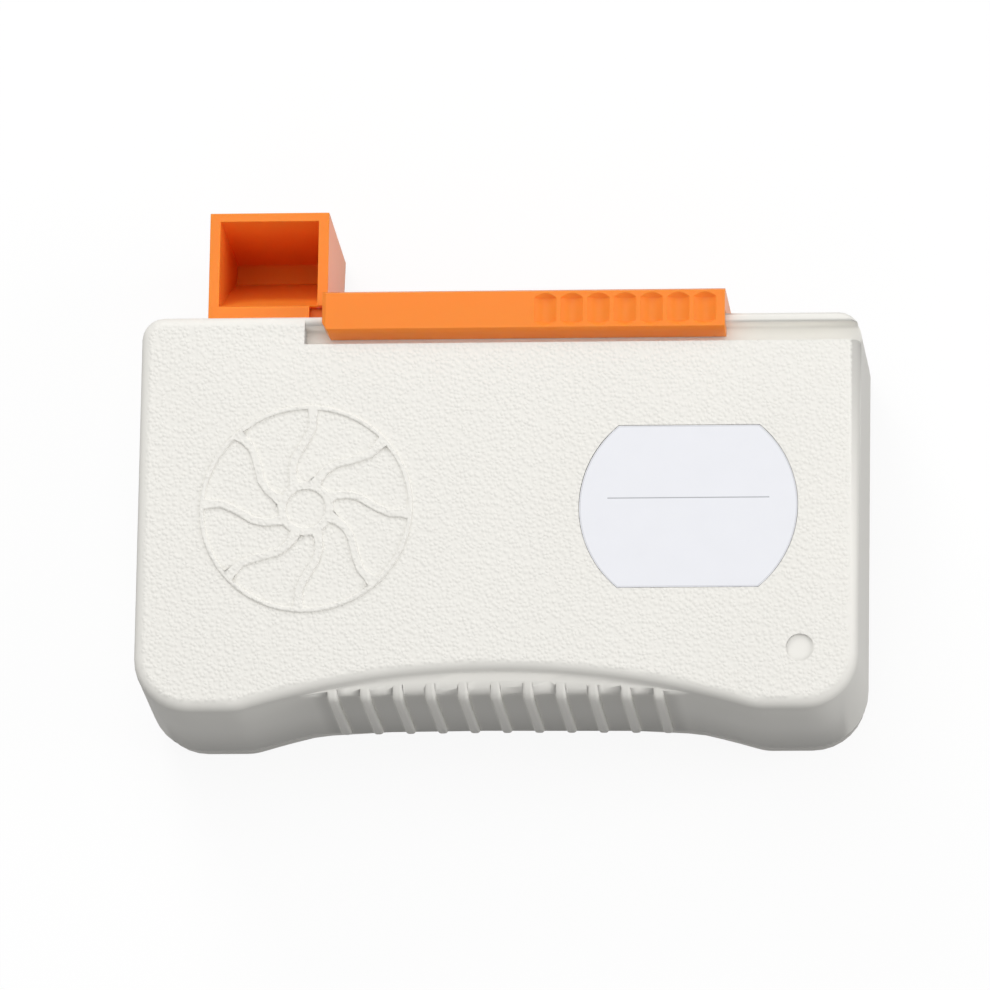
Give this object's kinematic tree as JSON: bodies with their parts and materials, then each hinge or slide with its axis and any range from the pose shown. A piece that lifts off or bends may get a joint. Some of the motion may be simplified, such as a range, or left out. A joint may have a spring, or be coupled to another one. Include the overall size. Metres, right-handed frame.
{
  "type": "fibre optic cleaning cassette",
  "caption": "Hand-held fibre connector cleaning cassette: ivory housing with finger grip, orange thumb slider and shutter hood over two wiping slots, geared tape reels inside.",
  "frame": {"origin": "centre of the flat back cover, on which the cassette lies", "axes": "+X along the length toward the end away from the orange hood, +Y toward the slider edge, +Z out of the front face"},
  "size_m": [0.1306, 0.0943, 0.0365],
  "materials": {
    "ivory_shell": "fine grained ivory moulding, satin side walls",
    "orange_moulding": "glossy translucent-looking orange moulding",
    "white_moulding": "smooth white moulding",
    "label_film": "smooth cool white plate, blank",
    "acetal_natural": "natural self-lubricating plastic",
    "reel_plastic": "smooth pale grey moulding",
    "bright_steel": "turned and polished steel",
    "spring_steel": "drawn spring wire",
    "pad_rubber": "soft moulded rubber",
    "wiping_cloth": "lint-free woven microfibre tape",
    "brake_felt": "pressed felt"
  },
  "bodies": {
    "housing": {"front_shell": "ivory_shell", "back_cover": "ivory_shell", "label_plate": "label_film", "window_frame": "white_moulding", "pad_carrier": "white_moulding", "cleaning_pad": "pad_rubber", "cleaning_tape": "wiping_cloth", "guide_pins": "bright_steel", "takeup_axle": "bright_steel", "supply_axle": "bright_steel", "pinion_axle": "bright_steel", "case_screws": "bright_steel", "anti_reverse_spring": "acetal_natural", "brake_washer": "brake_felt", "return_spring": "spring_steel"},
    "shuttle": {"thumb_slider": "orange_moulding", "shutter_hood": "orange_moulding", "slider_rack": "acetal_natural", "rack_screws": "bright_steel"},
    "pinion_body": {"pinion": "acetal_natural"},
    "drive_body": {"drive_gear": "acetal_natural", "drive_pawl": "acetal_natural"},
    "takeup_reel": {"takeup_hub": "reel_plastic", "takeup_flange": "reel_plastic", "ratchet_wheel": "acetal_natural", "takeup_roll": "wiping_cloth"},
    "supply_reel": {"supply_hub": "reel_plastic", "supply_flange": "reel_plastic", "supply_roll": "wiping_cloth"}
  },
  "joints": [
    {"name": "shuttle_slide", "type": "slide", "parent": "housing", "child": "shuttle", "axis": [1, 0, 0], "range_m": [0, 0.0235], "stiffness_N_per_m": 150, "springref_m": -0.01},
    {"name": "pinion_turn", "type": "hinge", "parent": "housing", "child": "pinion_body", "pos_m": [-0.01933, 0.02395, 0.0081], "axis": [0, 0, 1], "range_deg": [-193, 1]},
    {"name": "drive_turn", "type": "hinge", "parent": "housing", "child": "drive_body", "pos_m": [-0.0344, 0.00035, 0.0081], "axis": [0, 0, 1], "range_deg": [-1, 65]},
    {"name": "supply_turn", "type": "hinge", "parent": "housing", "child": "supply_reel", "pos_m": [0.0344, 0.00035, 0.0204], "axis": [0, 0, 1], "continuous": true},
    {"name": "takeup_turn", "type": "hinge", "parent": "housing", "child": "takeup_reel", "pos_m": [-0.0344, 0.00035, 0.0204], "axis": [0, 0, 1], "continuous": true}
  ],
  "couplings": [
    {"joint": "pinion_turn", "follows": "shuttle_slide", "rad_per_m": -142.86},
    {"joint": "drive_turn", "follows": "shuttle_slide", "rad_per_m": 47.619},
    {"joint": "takeup_turn", "follows": "supply_turn", "ratio": 1.8077}
  ]
}
